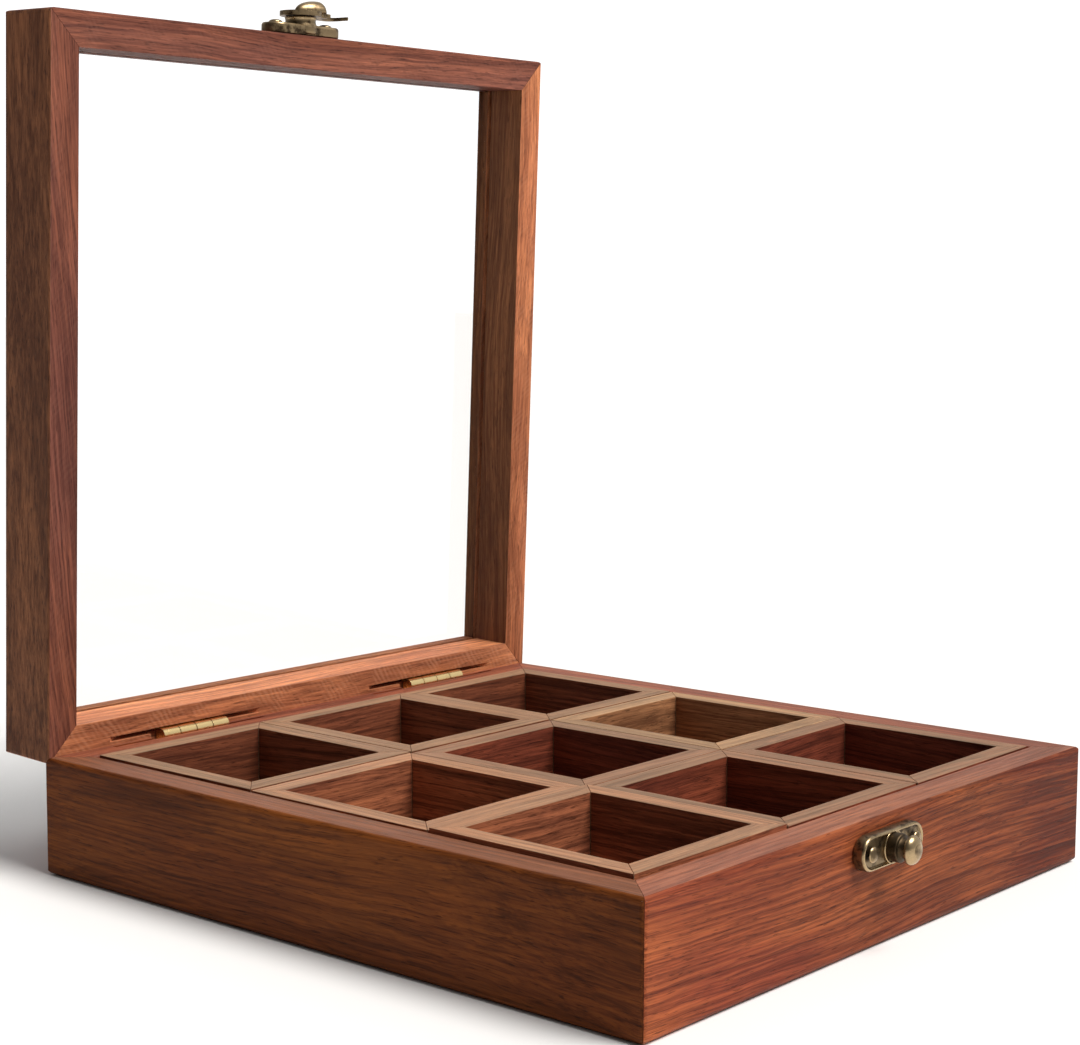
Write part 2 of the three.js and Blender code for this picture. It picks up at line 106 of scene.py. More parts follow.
sky_tree.links.new(room.outputs[0], strength.inputs["To Min"])
strength.inputs["To Max"].default_value = seen_sky
sky_tree.links.new(seen.outputs[0], strength.inputs["Value"])
sky_tree.links.new(strength.outputs[0], backdrop.inputs["Strength"])
bpy.context.scene.world = sky

key_light = bpy.data.lights.new("key", "SUN")
key_light.energy = 3.4
key_light.angle = math.radians(32)
key_light.color = (1.0, 0.97, 0.93)
key = bpy.data.objects.new("key", key_light)
key_stands = Vector((0.15, -0.48, 0.86))
key.rotation_euler = key_stands.to_track_quat("Z", "Y").to_euler()
bpy.context.collection.objects.link(key)

ground = bmesh.new()
bmesh.ops.create_grid(ground, x_segments=1, y_segments=1, size=8.0)
floor_mesh = bpy.data.meshes.new("floor")
ground.to_mesh(floor_mesh)
ground.free()
floor = bpy.data.objects.new("floor", floor_mesh)
floor_finish = bpy.data.materials.new("floor_paper")
floor_finish.use_nodes = True
paper = floor_finish.node_tree.nodes["Principled BSDF"]
paper.inputs["Base Color"].default_value = (0.90, 0.90, 0.90, 1.0)
paper.inputs["Roughness"].default_value = 0.9
floor_mesh.materials.append(floor_finish)
bpy.context.collection.objects.link(floor)

# ---- tray walls ------------------------------------------------------------------------------
# Four rosewood boards, 10 mm thick and 33 mm high, glued at mitred corners and sanded together.
# The back one is notched and saw-kerfed for the hinges. The grain runs along each board.


def node(tree, kind, settings=None, **inputs):
    """Adds a shader node. settings are its properties, and the rest its inputs by name, or by
    number as _0, each a value or the socket that feeds it."""
    made = tree.nodes.new("ShaderNode" + kind)
    for name, value in (settings or {}).items():
        setattr(made, name, value)
    for name, value in inputs.items():
        socket = made.inputs[int(name[1:]) if name[0] == "_" else name.replace("_", " ")]
        if isinstance(value, bpy.types.NodeSocket):
            tree.links.new(value, socket)
        else:
            socket.default_value = value
    return made


def blend_colours(tree, share, under, over, how="MIX"):
    mix = node(tree, "Mix", {"data_type": "RGBA", "blend_type": how}, Factor=share)
    under_socket, over_socket = mix.inputs[6], mix.inputs[7]
    for socket, value in ((under_socket, under), (over_socket, over)):
        if isinstance(value, bpy.types.NodeSocket):
            tree.links.new(value, socket)
        else:
            socket.default_value = (*value, 1.0)
    return mix.outputs[2]


def ramp(tree, value, stops):
    """A grey ramp; stops are (position, level)."""
    made = node(tree, "ValToRGB", Fac=value)
    band = made.color_ramp
    while len(band.elements) < len(stops):
        band.elements.new(0.5)
    for element, (place, level) in zip(band.elements, stops):
        element.position = place
        element.color = (level, level, level, 1.0)
    return made.outputs["Color"]


def timber(name, tones, lie, heart, rings, figure, lines=0.6, smoke=0.5, sawn=0.0,
           wear_and_top_light=(0.50, 0.26, 0.18), gloss=0.5, fade=(1.0, 1.0)):
    """Wood cut along its grain: rings about a pith at heart, a wavy figure, fibres and pores.
    tones are the ground colour, the dark lines' colour and the warm glow's. lie turns the board's
    length to the pattern's X, in degrees. fade is how light the wood is at the board's two ends."""
    finish = bpy.data.materials.new(name)
    finish.use_nodes = True
    tree = finish.node_tree
    shader = tree.nodes["Principled BSDF"]
    ground, dark, glow = tones

    def times(a, b):
        return node(tree, "Math", {"operation": "MULTIPLY"}, _0=a, _1=b).outputs[0]

    place = node(tree, "TexCoord").outputs["Object"]
    turned = node(tree, "Mapping", Vector=place, Rotation=[math.radians(a) for a in lie],
                  Location=heart).outputs["Vector"]

    def squeezed(vector, along, across, detail=2.0, rough=0.5):
        scaled = node(tree, "VectorMath", {"operation": "MULTIPLY"}, _0=vector,
                      _1=(along, across, across)).outputs[0]
        return node(tree, "TexNoise", Vector=scaled, Scale=1.0, Detail=detail, Roughness=rough)

    def pushed(vector, field, reach):
        return node(tree, "VectorMath", {"operation": "MULTIPLY_ADD"}, _0=field,
                    _1=(0.0, reach, reach), _2=vector).outputs[0]

    swayed = pushed(turned, squeezed(turned, 6.0, 16.0, 1.0).outputs["Color"], 0.014 * figure)
    bent = pushed(swayed, squeezed(turned, 45.0, 150.0, 2.0).outputs["Color"], 0.0012 * figure)
    spread = node(tree, "VectorMath", {"operation": "MULTIPLY"}, _0=bent,
                  _1=(0.06, 1.0, 1.0)).outputs[0]
    radius = node(tree, "VectorMath", {"operation": "LENGTH"}, _0=spread).outputs["Value"]
    ring = node(tree, "TexNoise", {"noise_dimensions": "1D"}, W=times(radius, rings), Scale=1.0,
                Detail=5.0, Roughness=0.75).outputs["Fac"]
    band = node(tree, "TexNoise", {"noise_dimensions": "1D"}, W=times(radius, 0.22 * rings),
                Scale=1.0, Detail=1.0).outputs["Fac"]
    streak = squeezed(bent, 16.0, 900.0, 4.0, 0.7).outputs["Fac"]
    fibre = squeezed(bent, 90.0, 2600.0, 3.0, 0.7).outputs["Fac"]
    pore = squeezed(bent, 210.0, 2600.0, 1.0).outputs["Fac"]
    patch = squeezed(turned, 11.0, 40.0, 2.0).outputs["Fac"]
    cloud = squeezed(pushed(turned, (0.5, 0.5, 0.5), 0.2), 9.0, 60.0, 2.0, 0.6).outputs["Fac"]

    warmth = times(ramp(tree, patch, [(0.42, 0.0), (0.68, 1.0)]), 0.8)
    colour = blend_colours(tree, warmth, ground, glow)
    haze = times(ramp(tree, band, [(0.34, 1.0), (0.56, 0.0)]), smoke)
    haze = node(tree, "Math", {"operation": "MAXIMUM"}, _0=haze,
                _1=times(ramp(tree, cloud, [(0.50, 0.0), (0.72, 1.0)]), smoke)).outputs[0]
    colour = blend_colours(tree, haze, colour, dark)
    line = times(ramp(tree, ring, [(0.36, 1.0), (0.45, 0.45), (0.53, 0.0)]), lines)
    colour = blend_colours(tree, line, colour, dark)
    fine = times(ramp(tree, streak, [(0.36, 1.0), (0.54, 0.0)]), 0.7)
    colour = blend_colours(tree, fine, colour, dark)
    sheen = node(tree, "MapRange", Value=fibre, From_Min=0.25, From_Max=0.75, To_Min=0.62,
                 To_Max=1.28).outputs[0]
    if fade != (1.0, 1.0):
        along = node(tree, "SeparateXYZ", Vector=place).outputs["X"]
        lightness = node(tree, "MapRange", Value=along, From_Min=-0.1, From_Max=0.1, To_Min=fade[0],
                         To_Max=fade[1]).outputs[0]
        sheen = times(sheen, lightness)
    sheen = node(tree, "CombineXYZ", X=sheen, Y=sheen, Z=sheen).outputs[0]
    colour = blend_colours(tree, 1.0, colour, sheen, "MULTIPLY")
    pale = times(ramp(tree, streak, [(0.52, 0.0), (0.68, 1.0)]), 0.24)
    colour = blend_colours(tree, pale, colour, tuple(1.5 * g for g in glow))
    open_pore = ramp(tree, pore, [(0.62, 0.0), (0.70, 1.0)])
    colour = blend_colours(tree, times(open_pore, 0.5), colour, tuple(0.3 * t for t in dark))
    relief = node(tree, "Math", {"operation": "MULTIPLY_ADD"}, _0=open_pore, _1=-0.8,
                  _2=fibre).outputs[0]
    if sawn:
        aslant = node(tree, "Mapping", Vector=swayed, Rotation=(0.0, 0.0, 0.6)).outputs["Vector"]
        teeth = node(tree, "TexWave", {"bands_direction": "X"}, Vector=aslant, Scale=190.0,
                     Distortion=6.0, Detail=3.0, Detail_Scale=0.6).outputs["Fac"]
        gaps = squeezed(turned, 130.0, 150.0, 2.0).outputs["Fac"]
        scored = times(times(teeth, ramp(tree, gaps, [(0.40, 0.0), (0.62, 1.0)])), sawn)
        relief = node(tree, "Math", {"operation": "ADD"}, _0=relief, _1=scored).outputs[0]
        torn = tuple(0.65 * t + 0.05 for t in glow)
        colour = blend_colours(tree, times(scored, 0.45), colour, torn)
    # Marked faces are lightened towards a pale colour: rubbed wear on the arrises, and on rim tops
    # wear plus painted top light.
    rubbed_and_painted_light = node(tree, "Attribute", {"attribute_name": "wear_and_painted_light"}).outputs["Fac"]
    rubbed_and_painted_light = times(rubbed_and_painted_light, ramp(tree, streak, [(0.3, 0.45), (0.7, 1.0)]))
    colour = blend_colours(tree, rubbed_and_painted_light, colour, blend_colours(tree, 0.5, colour, wear_and_top_light))
    tree.links.new(colour, shader.inputs["Base Color"])
    dull = node(tree, "MapRange", Value=fibre, From_Min=0.3, From_Max=0.7, To_Min=gloss - 0.08,
                To_Max=gloss + 0.12).outputs[0]
    tree.links.new(dull, shader.inputs["Roughness"])
    shader.inputs["Specular IOR Level"].default_value = 0.08
    tree.links.new(node(tree, "Bump", Strength=0.5, Distance=0.0001, Height=relief).outputs[0],
                   shader.inputs["Normal"])
    return finish


crease = math.radians(31)


def eased(solid, width, mitre=None, segments=2):
    """Rounds a piece's sharp edges, and marks the new faces as worn. Edges that lie in a mitre
    are only just broken."""
    solid.normal_update()
    wear_and_painted_light = solid.faces.layers.float.get("wear_and_painted_light") or solid.faces.layers.float.new("wear_and_painted_light")
    sharp = [e for e in solid.edges if len(e.link_faces) == 2 and e.calc_face_angle() > crease]
    glued = [e for e in sharp if mitre and all(mitre(v.co) for v in e.verts)]
    free = [e for e in sharp if e not in glued]
    mitre_share = 0.3
    for edges, offset in ((free, width), (glued, mitre_share * width)):
        edges = [e for e in edges if e.is_valid]
        if not edges:
            continue
        cut = bmesh.ops.bevel(solid, geom=edges, offset=offset, offset_type="OFFSET",
                              segments=segments, profile=0.5, affect="EDGES", clamp_overlap=True,
                              material=-1)
        for face in cut["faces"]:
            face[wear_and_painted_light] = 1.0
    return wear_and_painted_light


def finished(name, solid, body, slot, materials, *nodes):
    """Turns a bmesh into the named piece, puts it on its body, and hides what it stands for."""
    mesh = bpy.data.meshes.new(name)
    solid.to_mesh(mesh)
    solid.free()
    for material in materials:
        mesh.materials.append(material)
    piece = bpy.data.objects.new(name, mesh)
    bpy.context.collection.objects.link(piece)
    mesh.shade_smooth()
    piece.modifiers.new("even_shading", "WEIGHTED_NORMAL").keep_sharp = False
    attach(piece, body)
    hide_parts(*nodes)


def from_cad(name):
    """A merged copy of a CAD node's mesh, with its flat faces made whole."""
    solid = bmesh.new()
    solid.from_mesh(frame["nodes"][name].data)
    for old in list(solid.loops.layers.uv):
        solid.loops.layers.uv.remove(old)
    bmesh.ops.remove_doubles(solid, verts=solid.verts, dist=2e-6)
    bmesh.ops.dissolve_limit(solid, angle_limit=math.radians(0.4), verts=solid.verts,
                             edges=solid.edges)
    return solid


arris = 0.0004
glue_line = 0.00014
mitre_nearness = 0.0006
facing = 0.9
long_axis = {"front": 0, "right": 1, "back": 0, "left": 1}
along_x, along_y = (0, 0, 0), (0, 0, -90)


def in_mitre(co):
    return abs(abs(co.x) - abs(co.y)) < mitre_nearness


def close_mitres(board, along):
    """Draws a board's mitred ends out to a hairline glue joint. along is its length's axis."""
    for corner in board.verts:
        if in_mitre(corner.co):
            corner.co[along] += math.copysign(glue_line, corner.co[along])


umber = ((0.160, 0.040, 0.009), (0.048, 0.011, 0.003), (0.230, 0.066, 0.012))
russet = ((0.262, 0.055, 0.026), (0.082, 0.016, 0.009), (0.450, 0.128, 0.040))

wall_timbers = {
    "front": timber("front_wall_rosewood", russet, along_x, (0.31, 0.16, 0.045), 1000, 0.8,
                    lines=0.65, smoke=0.35, fade=(1.14, 0.58)),
    "right": timber("right_wall_rosewood", russet, along_y, (0.12, 0.19, 0.05), 380, 1.0),
    "back": timber("back_wall_rosewood", russet, along_x, (-0.2, 0.02, 0.04), 400, 1.0),
    "left": timber("left_wall_rosewood", umber, along_y, (0.05, 0.13, 0.012), 620, 1.1, lines=0.6,
                   smoke=0.22),
}
wall_slots = {"front": "rosewood_red", "right": "rosewood_red", "back": "rosewood_red",
              "left": "rosewood_dark"}
# Rim tops are lightened by side: partly rubbed wear, partly painted top light where the rims face the
# lamp.
rim_wear_and_top_light = {"front": 0.85, "right": 0.6, "back": 0.35, "left": 0.55}

for side, finish in wall_timbers.items():
    board = from_cad(f"tray_{side}_wall")
    wear_and_painted_light = eased(board, arris, in_mitre)
    board.normal_update()
    for face in board.faces:
        if face.normal.z > facing:
            face[wear_and_painted_light] = max(face[wear_and_painted_light], rim_wear_and_top_light[side])
    close_mitres(board, long_axis[side])
    finished(f"tray_{side}_board", board, "tray", wall_slots[side], [finish], f"tray_{side}_wall")

# ---- tray bottom -----------------------------------------------------------------------------
# A thin board of plain cheap wood under the cups. It is let into a rebate along the walls' lower
# edges and glued there, flush with their feet.

drab = ((0.20, 0.11, 0.06), (0.10, 0.05, 0.03), (0.28, 0.15, 0.08))
bottom = from_cad("tray_bottom_panel")
eased(bottom, arris)
finished("tray_bottom_board", bottom, "tray", "panel_wood",
         [timber("bottom_board_wood", drab, along_y, (0.0, 0.03, 0.3), 300, 1.0, gloss=0.62)],
         "tray_bottom_panel")

# ---- lid frame -------------------------------------------------------------------------------
# Four mitred rosewood rails, 10 mm wide and 20 mm deep, grooved inside for the glass and glued at
# the corners. The right and the back one are of paler orange wood that still shows the saw's marks
# on the mating face.

hinge = next(j for j in frame["joints"] if j["name"] == "lid_hinge")
pin_line = Vector(hinge["pos_m"])
open_angle = -hinge["range_deg"][0]
shut = (Matrix.Translation(pin_line) @ Matrix.Rotation(math.radians(open_angle), 4, "X")
        @ Matrix.Translation(-pin_line))
opened = shut.inverted()

plum = ((0.225, 0.078, 0.054), (0.080, 0.025, 0.019), (0.320, 0.105, 0.055))
amber = ((0.540, 0.185, 0.085), (0.200, 0.060, 0.030), (0.720, 0.270, 0.110))
dusk = ((0.185, 0.074, 0.037), (0.065, 0.023, 0.012), (0.270, 0.105, 0.046))
honey = ((0.680, 0.250, 0.115), (0.270, 0.085, 0.042), (0.850, 0.350, 0.150))
tan = ((0.260, 0.104, 0.046), (0.088, 0.031, 0.015), (0.350, 0.138, 0.056))

lid_x, lid_y = (open_angle, 0, 0), (open_angle, 0, -90)
lid_slant = (open_angle, 0, -83)
rail_timbers = {
    "front": [timber("front_rail_rosewood", plum, lid_x, (0.4, 0.11, 0.02), 420, 1.2),
              timber("front_rail_mating_face", plum, lid_x, (0.4, 0.11, 0.02), 420, 1.2, sawn=0.25)],
    "right": [timber("right_rail_rosewood", tan, lid_y, (0.1, 0.15, 0.02), 420, 1.0),
              timber("right_rail_mating_face", amber, lid_y, (0.1, 0.15, 0.02), 420, 1.6, sawn=0.5)],
    "back": [timber("back_rail_rosewood", honey, lid_x, (0.3, 0.09, 0.03), 380, 1.0),
             timber("back_rail_mating_face", amber, lid_x, (0.3, 0.09, 0.03), 380, 1.0, sawn=0.9)],
    "left": [timber("left_rail_rosewood", dusk, lid_slant, (0.2, 0.12, 0.02), 480, 0.8, lines=0.4),
             timber("left_rail_mating_face", plum, lid_slant, (0.2, 0.12, 0.02), 420, 1.0, sawn=0.25)],
}
rail_slots = {"front": "rosewood_red", "right": "rosewood_orange", "back": "rosewood_orange",
              "left": "rosewood_red"}

for side, finishes in rail_timbers.items():
    rail = from_cad(f"lid_{side}_rail")
    bmesh.ops.transform(rail, matrix=shut, verts=rail.verts)
    eased(rail, arris, in_mitre)
    close_mitres(rail, long_axis[side])
    rail.normal_update()
    for face in rail.faces:
        face.material_index = 1 if face.normal.z < -facing else 0
    bmesh.ops.transform(rail, matrix=opened, verts=rail.verts)
    finished(f"lid_{side}_board", rail, "lid", rail_slots[side], finishes, f"lid_{side}_rail")

# ---- glass -----------------------------------------------------------------------------------
# A 2 mm pane of clear float glass, slid into the rails' groove before the last corner was glued.
# It is clean but for a faint film of dust.

glass = bpy.data.materials.new("float_glass")
glass.use_nodes = True
sheet = glass.node_tree.nodes["Principled BSDF"]
sheet.inputs["Base Color"].default_value = (0.996, 1.0, 0.998, 1.0)
sheet.inputs["Transmission Weight"].default_value = 1.0
sheet.inputs["IOR"].default_value = 1.5
place = node(glass.node_tree, "TexCoord").outputs["Object"]
dust = node(glass.node_tree, "TexNoise", Vector=place, Scale=22.0, Detail=4.0).outputs["Fac"]
film = node(glass.node_tree, "MapRange", Value=dust, From_Min=0.35, From_Max=0.75, To_Min=0.0,
            To_Max=0.015).outputs[0]
glass.node_tree.links.new(film, sheet.inputs["Roughness"])
seamed = 0.0003
pane = from_cad("lid_glass")
eased(pane, seamed)
finished("lid_pane", pane, "lid", "clear_glass", [glass], "lid_glass")

# ---- hinges ----------------------------------------------------------------------------------
# Two 25 mm butt hinges of rolled bright brass: four knuckles on a pin, and leaves driven into the
# saw slots, each held by two brads.


def brass(name, bright, dark, tarnish, rough, scale=700.0):
    """Brass that stays bright where it is rubbed (marked above 0) and goes dark where marked below 0:
    tarnish in its hollows, and painted shade on sides and parts that stand in shadow."""
    finish = bpy.data.materials.new(name)
    finish.use_nodes = True
    tree = finish.node_tree
    shader = tree.nodes["Principled BSDF"]

    def maths(operation, *values):
        return node(tree, "Math", {"operation": operation},
                    **{f"_{number}": value for number, value in enumerate(values)}).outputs[0]

    place = node(tree, "TexCoord").outputs["Object"]
    cloud = node(tree, "TexNoise", Vector=place, Scale=scale, Detail=4.0,
                 Roughness=0.6).outputs["Fac"]
    grit = node(tree, "TexNoise", Vector=place, Scale=6.0 * scale, Detail=2.0).outputs["Fac"]
    stain_and_painted_shade = ramp(tree, cloud, [(0.62 - 0.3 * tarnish, 0.0), (0.80 - 0.2 * tarnish, 1.0)])
    rubbed_and_painted_light = node(tree, "Attribute", {"attribute_name": "wear_and_painted_light"}).outputs["Fac"]
    unrubbed_and_shaded = maths("MULTIPLY_ADD", rubbed_and_painted_light, -0.75, 1.0)
    stain_and_painted_shade = maths("MULTIPLY", maths("MULTIPLY", stain_and_painted_shade, unrubbed_and_shaded), 0.35 + 0.6 * tarnish)
    hollow_and_painted_shade = maths("MULTIPLY", rubbed_and_painted_light, -1.0)
    stain_and_painted_shade = maths("MAXIMUM", stain_and_painted_shade, hollow_and_painted_shade)
    tree.links.new(blend_colours(tree, stain_and_painted_shade, bright, dark), shader.inputs["Base Color"])
    shader.inputs["Metallic"].default_value = 1.0
    tree.links.new(node(tree, "MapRange", Value=stain_and_painted_shade, To_Min=rough, To_Max=rough + 0.25).outputs[0],
                   shader.inputs["Roughness"])
    tree.links.new(node(tree, "Bump", Strength=0.35, Distance=0.00006, Height=grit).outputs[0],
                   shader.inputs["Normal"])
    return finish


filed = 0.00012
gold = brass("bright_brass_finish", (1.0, 0.74, 0.36), (0.52, 0.28, 0.10), 0.2, 0.22)
for name, cad in frame["nodes"].items():
    if not name.startswith("hinge_"):
        continue
    if name.endswith("leaf"):
        metal = from_cad(name)
        eased(metal, filed)
        finished(f"{name}_metal", metal, cad["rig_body"], "bright_brass", [gold], name)
    else:
        cad.data.materials.clear()
        cad.data.materials.append(gold)

# ---- keeper ----------------------------------------------------------------------------------
# A cast plate with a raised rim, held on the tray's front by two round-headed nails, and a headed
# peg on a thick foot that the hook slips behind. All of it is antique brass: tarnished dark in the
# recess, rubbed bright on the rims, with painted shade darkening the plate's sides and the peg's foot
# and neck.

# Its dark colour is tarnish, and also stands in for shade where faces are marked below 0: painted
# shade on the fittings' sides and on the peg.
antique_brass_and_shade = brass("antique_brass_and_painted_shade", (0.50, 0.365, 0.205), (0.055, 0.036, 0.02), 0.8, 0.24, 260.0)
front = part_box("tray_front_wall")[0].y


def millimetres(points):
    """A drawn profile, in metres."""
    return [(0.001 * across, 0.001 * out) for across, out in points]


def stadium_loft(metal, at, reach, half_height, profile):
    """A round-ended plate on the front face at (x, z), built up ring by ring: the profile gives
    each ring's inset from the outline and how far it stands out."""
    segments = 44
    rings = []
    for inset, out in millimetres(profile):
        lie = (Matrix.Translation((0.0, front - out, at.z)) @ Matrix.Rotation(math.pi / 2, 4, "X")
               @ Matrix.Rotation(math.pi / segments, 4, "Z"))
        ring = bmesh.ops.create_circle(metal, segments=segments, radius=half_height - inset,
                                       matrix=lie)["verts"]
        for point in ring:
            point.co.x += at.x + math.copysign(reach, point.co.x)
        rings.append(list({edge for point in ring for edge in point.link_edges}))
    for near, far in zip(rings, rings[1:]):
        bmesh.ops.bridge_loops(metal, edges=near + far)
    for ring in (rings[0], rings[-1]):
        bmesh.ops.contextual_create(metal, geom=ring)


def turned(metal, at, profile, steps=36):
    """A solid turned about the line straight out of the front face at (x, z)."""
    points = [metal.verts.new((at.x + across, front - out, at.z))
              for across, out in millimetres(profile)]
    line = [metal.edges.new(pair) for pair in zip(points, points[1:])]
    bmesh.ops.spin(metal, geom=points + line, cent=(at.x, front, at.z), axis=(0, 1, 0),
                   angle=2 * math.pi, steps=steps, use_merge=True)
    bmesh.ops.remove_doubles(metal, verts=metal.verts, dist=1e-6)


def mark_wear_and_shade(metal, levels):
    """Sets each face's wear and painted shade, level by level: levels are (low, high, share), outs in
    mm; a share above 0 is rubbed bright wear, one below 0 darkens the face.
    """
    wear_and_painted_light = metal.faces.layers.float.get("wear_and_painted_light") or metal.faces.layers.float.new("wear_and_painted_light")
    bmesh.ops.recalc_face_normals(metal, faces=metal.faces)
    for face in metal.faces:
        out = 1000 * (front - face.calc_center_median().y)
        for low, high, share in levels:
            if low <= out <= high:
                face[wear_and_painted_light] = share


def nailed(fitting, body):
    """The two round-headed nails that hold a fitting."""
    for number in (1, 2):
        nail = from_cad(f"{fitting}_nail_{number}")
        eased(nail, filed, segments=1)
        finished(f"{fitting}_nail_{number}_metal", nail, body, "antique_brass", [antique_brass_and_shade],
                 f"{fitting}_nail_{number}")


plate_low, plate_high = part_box("keeper_plate")
peg_low, peg_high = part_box("keeper_peg")
keeper_at = (peg_low + peg_high) / 2
half_height = (plate_high.z - plate_low.z) / 2
reach = (plate_high.x - plate_low.x) / 2 - half_height
rim_profile = [(0.15, 0.3), (0.0, 0.45), (0.0, 2.5), (0.08, 2.85), (0.28, 3.15), (0.5, 3.26),
               (0.72, 3.2), (0.9, 3.0), (1.05, 2.78), (1.4, 2.7)]
peg_seat = [(0, 2.0), (4.3, 2.0), (4.3, 3.0), (4.2, 3.18), (4.05, 3.25), (3.9, 3.18), (3.8, 2.95),
            (0, 2.9)]
peg_profile = [(0, 2.2), (3.6, 2.2), (3.6, 3.4), (3.6, 5.2), (3.5, 5.5), (3.2, 5.68), (2.45, 5.78),
               (2.45, 7.5), (2.6, 7.6), (3.4, 7.64), (3.62, 7.75), (3.7, 8.0), (3.64, 8.35),
               (3.44, 8.8), (3.05, 9.2), (2.5, 9.54), (1.8, 9.79), (0.9, 9.94), (0, 9.98)]

plate = bmesh.new()
stadium_loft(plate, keeper_at, reach, half_height, rim_profile)
turned(plate, keeper_at, peg_seat)
# Painted shade on the plate's sides, and tarnish darkening its recessed face; the rim is rubbed
# bright.
mark_wear_and_shade(plate, [(0.0, 2.9, -0.55), (3.05, 3.4, 1.0)])
finished("keeper_cast_plate", plate, "tray", "antique_brass", [antique_brass_and_shade], "keeper_plate")

peg = bmesh.new()
turned(peg, keeper_at, peg_profile)
# Painted shade: the peg's foot and neck are painted near black where they stand in shadow; the head's
# dome is rubbed bright.
mark_wear_and_shade(peg, [(2.0, 7.7, -0.95), (8.4, 9.7, 0.8)])
finished("keeper_headed_peg", peg, "tray", "antique_brass", [antique_brass_and_shade], "keeper_peg")

nailed("keeper", "tray")

# ---- latch -----------------------------------------------------------------------------------
# The same cast plate on the lid's front, with a waisted boss that carries the swing hook on a
# pin. The hook's arm is 1.5 mm thick, with a teardrop thumb knob cast on it beside the pin.

swing = next(j for j in frame["joints"] if j["name"] == "hook_swing")
latch_at = shut @ Vector(swing["pos_m"])


def on_lid(metal):
    """Swings a fitting made on the shut lid up to where the open lid stands."""
    bmesh.ops.transform(metal, matrix=opened, verts=metal.verts)
    return metal


def cut_off(solid, point, normal, nearness=1e-7):
    """Saws away what lies beyond the plane, and returns the cut's edges."""
    cut = bmesh.ops.bisect_plane(solid, geom=solid.verts[:] + solid.edges[:] + solid.faces[:],
                                 dist=nearness, plane_co=point, plane_no=normal, clear_outer=True)
    return [piece for piece in cut["geom_cut"] if isinstance(piece, bmesh.types.BMEdge)]


plate = bmesh.new()
stadium_loft(plate, latch_at, reach, half_height, rim_profile)
boss = [(0, 0.5), (4.7, 0.5), (5.05, 0.9), (5.1, 1.6), (5.0, 2.6), (4.9, 3.2), (4.65, 3.7),
        (4.5, 4.3), (4.55, 4.9), (4.7, 5.3), (4.6, 5.6), (4.3, 5.68), (0, 5.68)]
turned(plate, latch_at, boss, 44)
# Painted shade on the plate's sides and the boss's foot; the boss's waist is darker; the rims are
# rubbed bright.
mark_wear_and_shade(plate, [(0.0, 2.6, -0.5), (3.1, 3.4, 1.0), (3.5, 4.8, -0.5), (5.2, 5.5, 0.6)])
finished("latch_cast_plate", on_lid(plate), "lid", "antique_brass", [antique_brass_and_shade], "latch_plate")

pin = bmesh.new()
turned(pin, latch_at, [(0, 5.5), (1.08, 5.5), (1.08, 7.0), (0.9, 7.18), (0, 7.2)], 20)
# The pin's shank under the arm is darker.
mark_wear_and_shade(pin, [(5.0, 6.0, -0.5)])
finished("latch_pin", on_lid(pin), "lid", "antique_brass", [antique_brass_and_shade], "latch_rivet")

arm_top = 0.0073
hook = from_cad("latch_hook")
bmesh.ops.transform(hook, matrix=shut, verts=hook.verts)
sawn_edges = cut_off(hook, (0.0, front - arm_top, 0.0), (0.0, -1.0, 0.0))
bmesh.ops.holes_fill(hook, edges=sawn_edges)
bmesh.ops.dissolve_limit(hook, angle_limit=math.radians(1), verts=hook.verts, edges=hook.edges)
mouth_end = latch_at.x + 0.01602
lip_share = 0.45
taper_start, taper_length, taper = latch_at.x + 0.007, 0.008, 0.0004
arm_middle, arm_edge = 0.0065, 0.00028
for point in hook.verts:
    if point.co.x > mouth_end:
        point.co.x = mouth_end + lip_share * (point.co.x - mouth_end)
    beyond = min(1.0, max(0.0, (point.co.x - taper_start) / taper_length))
    if front - point.co.y > arm_middle:
        point.co.y += taper * beyond
# Painted shade on the arm's sides.
mark_wear_and_shade(hook, [(5.0, 7.2, -0.5)])
eased(hook, arm_edge, segments=3)

knob = bmesh.new()
bmesh.ops.create_uvsphere(knob, u_segments=40, v_segments=20, radius=1.0)
cut_off(knob, (0.0, 0.0, 0.0), (0.0, 1.0, 0.0), nearness=1e-5)
bmesh.ops.holes_fill(knob, edges=[e for e in knob.edges if e.is_boundary])
knob_along, knob_radius, knob_height, knob_sunk = 0.0062, 0.0039, 0.0035, 0.00004
tail, nose, narrowing = 2.1, 0.68, 0.25
knob_centre = Vector((latch_at.x + knob_along, front - arm_top + knob_sunk, latch_at.z))
for point in knob.verts:
    lean = tail if point.co.x < 0 else nose
    waist = 1 - narrowing * max(0.0, -point.co.x)
    point.co = knob_centre + Vector((point.co.x * knob_radius * lean, point.co.y * knob_height,
                                     point.co.z * knob_radius * waist))
# Painted shade on the knob's lower sides; its top is rubbed bright.
mark_wear_and_shade(knob, [(7.0, 9.2, -0.45), (10.0, 12.0, 0.6)])
spare = bpy.data.meshes.new("knob")
knob.to_mesh(spare)
knob.free()
hook.from_mesh(spare)
bpy.data.meshes.remove(spare)
finished("latch_swing_hook", on_lid(hook), "hook", "antique_brass", [antique_brass_and_shade], "latch_hook")

nailed("latch", "lid")

# ---- cups ------------------------------------------------------------------------------------
# Nine loose cups, each of four mitred strips round a thin floor. Every cup was cut and sanded by
# itself, so no two stand quite alike, and their wood differs.

cup_tones = (
    ((0.400, 0.130, 0.066), (0.110, 0.032, 0.018), (0.580, 0.200, 0.085)),
    ((0.245, 0.074, 0.038), (0.068, 0.019, 0.011), (0.370, 0.115, 0.050)),
    ((0.235, 0.056, 0.032), (0.068, 0.016, 0.010), (0.370, 0.090, 0.040)),
    ((0.420, 0.190, 0.085), (0.130, 0.050, 0.024), (0.560, 0.260, 0.120)),
)
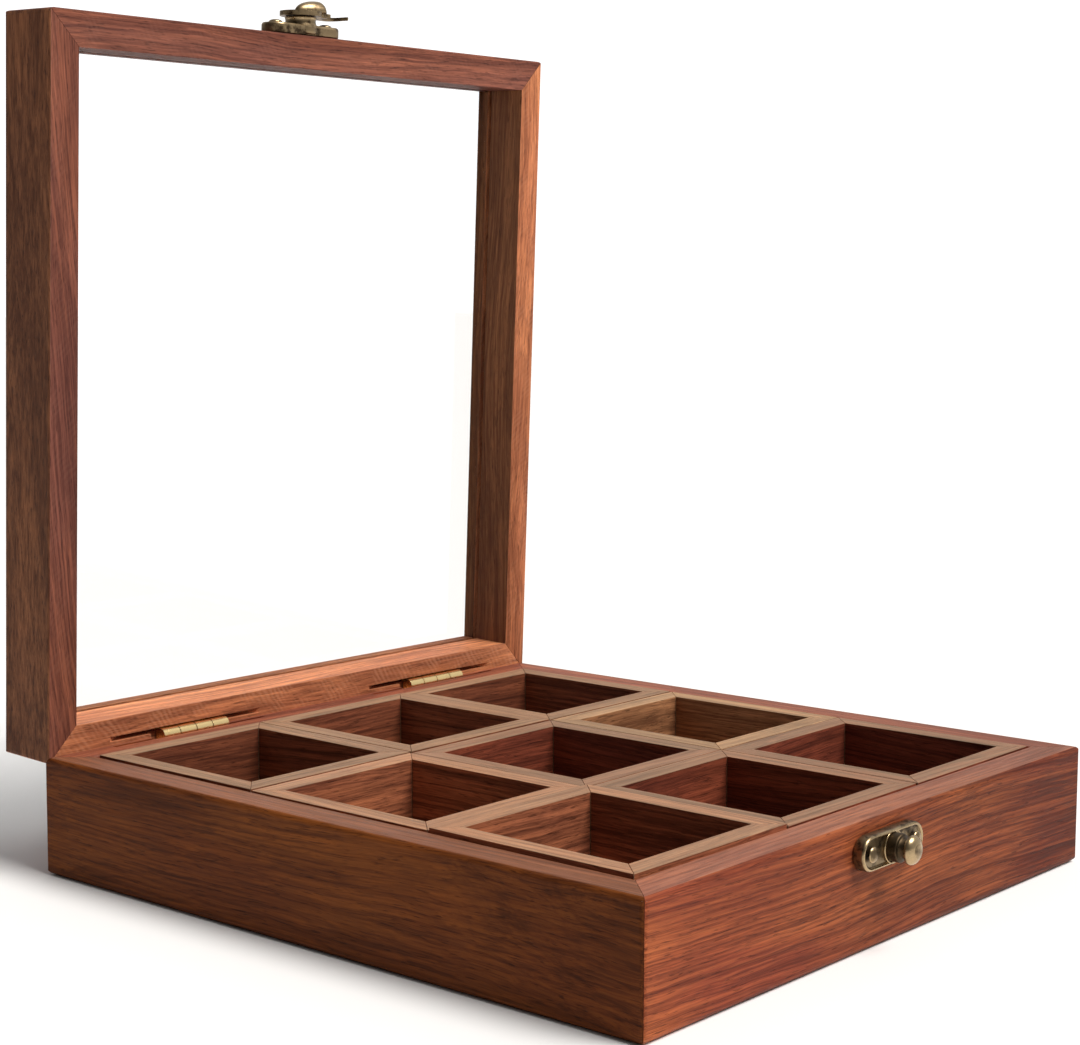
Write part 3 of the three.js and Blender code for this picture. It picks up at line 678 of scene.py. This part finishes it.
# Cup rim tops are painted towards a pale tan: partly sanding wear, partly painted top light. The
# arrises take the same tan as sanding wear.
sanded_and_top_light = (0.48, 0.37, 0.23)
cup_wall, mitre_gap, rim_sanding_and_top_light = 0.006, 0.00007, 0.95
tone_of = (1, 1, 1, 2, 0, 2, 2, 0, 3)
sunk = (0.0002, 0.0004, 0.0003, 0.0005, 0.0005, 0.0007, 0.0003, 0.0005, 0.0004)
shake = random.Random(9)
floor_timber = timber("cup_floor_wood_grain", drab, along_x, (0.1, 0.04, 0.2), 300, 1.0, gloss=0.65)


def mitred_strip(length, width, low, high):
    """One strip along X whose outer face is at y = -length / 2, cut to 45 degrees at both ends."""
    strip = bmesh.new()
    bmesh.ops.create_cube(strip, size=1.0)
    bmesh.ops.scale(strip, vec=(length, width, high - low), verts=strip.verts)
    bmesh.ops.translate(strip, vec=(0.0, (width - length) / 2, (low + high) / 2), verts=strip.verts)
    for end in (-1, 1):
        edges = cut_off(strip, (0.0, -mitre_gap, 0.0), (end, 1.0, 0.0))
        bmesh.ops.contextual_create(strip, geom=edges)
    return strip


cups = sorted(n[: -len("_walls")] for n in frame["nodes"] if n.endswith("_walls"))
for count, cup in enumerate(cups):
    low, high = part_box(f"{cup}_walls")
    centre = (low + high) / 2
    side = high.x - low.x
    tones = cup_tones[tone_of[count]]
    seat = (shake.uniform(-0.2, 0.2), shake.uniform(0.02, 0.12), shake.uniform(0.02, 0.1))
    finishes = [
        timber(f"{cup}_grain_x", tones, along_x, seat, 420, 1.0, wear_and_top_light=sanded_and_top_light, gloss=0.55),
        timber(f"{cup}_grain_y", tones, along_y, seat[::-1], 420, 1.0, wear_and_top_light=sanded_and_top_light, gloss=0.55),
    ]
    ring = bmesh.new()
    for quarter in range(4):
        strip = mitred_strip(side, cup_wall, low.z, high.z - sunk[count])
        wear_and_painted_light = eased(strip, arris, in_mitre)
        strip.normal_update()
        for face in strip.faces:
            face.material_index = quarter % 2
            if face.normal.z > facing:
                face[wear_and_painted_light] = rim_sanding_and_top_light
        bmesh.ops.rotate(strip, matrix=Matrix.Rotation(math.pi / 2 * quarter, 3, "Z"),
                         verts=strip.verts)
        part = bpy.data.meshes.new("strip")
        strip.to_mesh(part)
        strip.free()
        ring.from_mesh(part)
        bpy.data.meshes.remove(part)
    slip_x = shake.uniform(-8e-5, 8e-5)
    slip_y = shake.uniform(-8e-5, 8e-5)
    turn = math.radians(shake.uniform(-0.22, 0.22))
    seated = (Matrix.Translation((centre.x + slip_x, centre.y + slip_y, 0.0))
              @ Matrix.Rotation(turn, 4, "Z"))
    bmesh.ops.transform(ring, matrix=seated, verts=ring.verts)
    finished(f"{cup}_strips", ring, cup, "cup_wood", finishes, f"{cup}_walls")
    base = from_cad(f"{cup}_floor")
    eased(base, arris)
    finished(f"{cup}_base", base, cup, "cup_floor_wood", [floor_timber], f"{cup}_floor")

# ---- the end ---------------------------------------------------------------------------------

bpy.context.view_layer.update()
